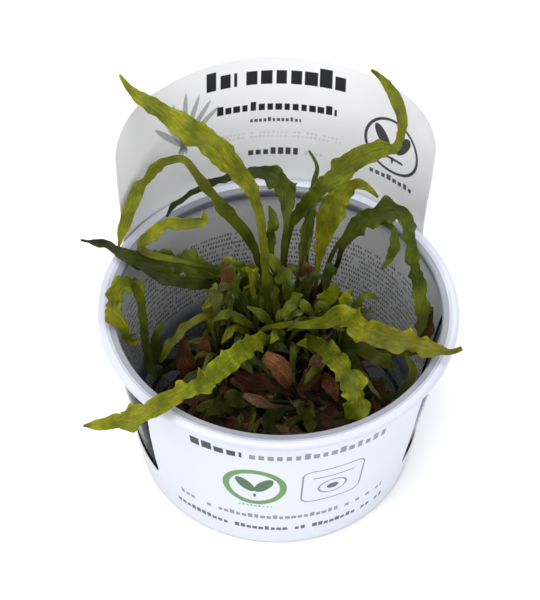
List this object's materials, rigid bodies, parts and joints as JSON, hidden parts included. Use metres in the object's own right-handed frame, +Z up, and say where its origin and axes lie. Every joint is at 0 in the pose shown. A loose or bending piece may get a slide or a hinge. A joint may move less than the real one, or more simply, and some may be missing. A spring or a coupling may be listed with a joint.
{
  "type": "potted cryptocoryne crispatula",
  "caption": "Young narrow-leaved water plants on clear gel in a clear snap-rim cup, held by a card sleeve with a tall arched back and a low front panel.",
  "frame": {"origin": "centre of the cup's underside, on the surface it stands on", "axes": "+Z up; -Y towards the low front panel of the sleeve; +Y towards the tall arched back"},
  "size_m": [0.0996, 0.0959, 0.1083],
  "materials": {
    "clear_plastic": "clear, thin, glossy",
    "white_card": "satin coated card",
    "nutrient_gel": "clear wet gel",
    "rhizome": "matte, fibrous",
    "leaf_green": "waxy, finely ruffled",
    "leaf_dead": "dull, decayed"
  },
  "bodies": {
    "root": {"card_sleeve": "white_card", "crown_a": "rhizome", "crown_b": "rhizome", "crown_c": "rhizome", "crown_d": "rhizome", "crown_e": "rhizome", "crown_f": "rhizome", "crown_g": "rhizome", "crown_h": "rhizome", "cup": "clear_plastic", "dead_leaf_across": "leaf_dead", "dead_leaf_back": "leaf_dead", "dead_leaf_curled": "leaf_dead", "dead_leaf_fold": "leaf_dead", "dead_leaf_front": "leaf_dead", "dead_leaf_left_red": "leaf_dead", "dead_leaf_left_tan": "leaf_dead", "dead_leaf_loop": "leaf_dead", "dead_leaf_rolled": "leaf_dead", "leaf_arch_left": "leaf_green", "leaf_arch_right": "leaf_green", "leaf_bright_right": "leaf_green", "leaf_broad_left": "leaf_green", "leaf_dark_left": "leaf_green", "leaf_drop_left": "leaf_green", "leaf_flap_right": "leaf_green", "leaf_fold_back": "leaf_green", "leaf_front_left": "leaf_green", "leaf_front_right": "leaf_green", "leaf_inner_a": "leaf_green", "leaf_inner_b": "leaf_green", "leaf_inner_c": "leaf_green", "leaf_inner_d": "leaf_green", "leaf_inner_e": "leaf_green", "leaf_long_right": "leaf_green", "leaf_loop_left": "leaf_green", "leaf_low_front": "leaf_green", "leaf_low_front_left": "leaf_green", "leaf_low_front_mid": "leaf_green", "leaf_low_left": "leaf_green", "leaf_low_right_a": "leaf_green", "leaf_low_right_b": "leaf_green", "leaf_mid_left": "leaf_green", "leaf_slip_right": "leaf_green", "leaf_small_a": "leaf_green", "leaf_small_b": "leaf_green", "leaf_small_c": "leaf_green", "leaf_small_d": "leaf_green", "leaf_small_e": "leaf_green", "leaf_small_f": "leaf_green", "leaf_small_g": "leaf_green", "leaf_small_h": "leaf_green", "leaf_small_i": "leaf_green", "leaf_tall_left": "leaf_green", "leaf_tall_right": "leaf_green", "leaf_thin_back": "leaf_green", "leaf_upcurl_left": "leaf_green", "leaf_wall_right": "leaf_green", "nutrient_gel": "nutrient_gel"}
  },
  "joints": []
}
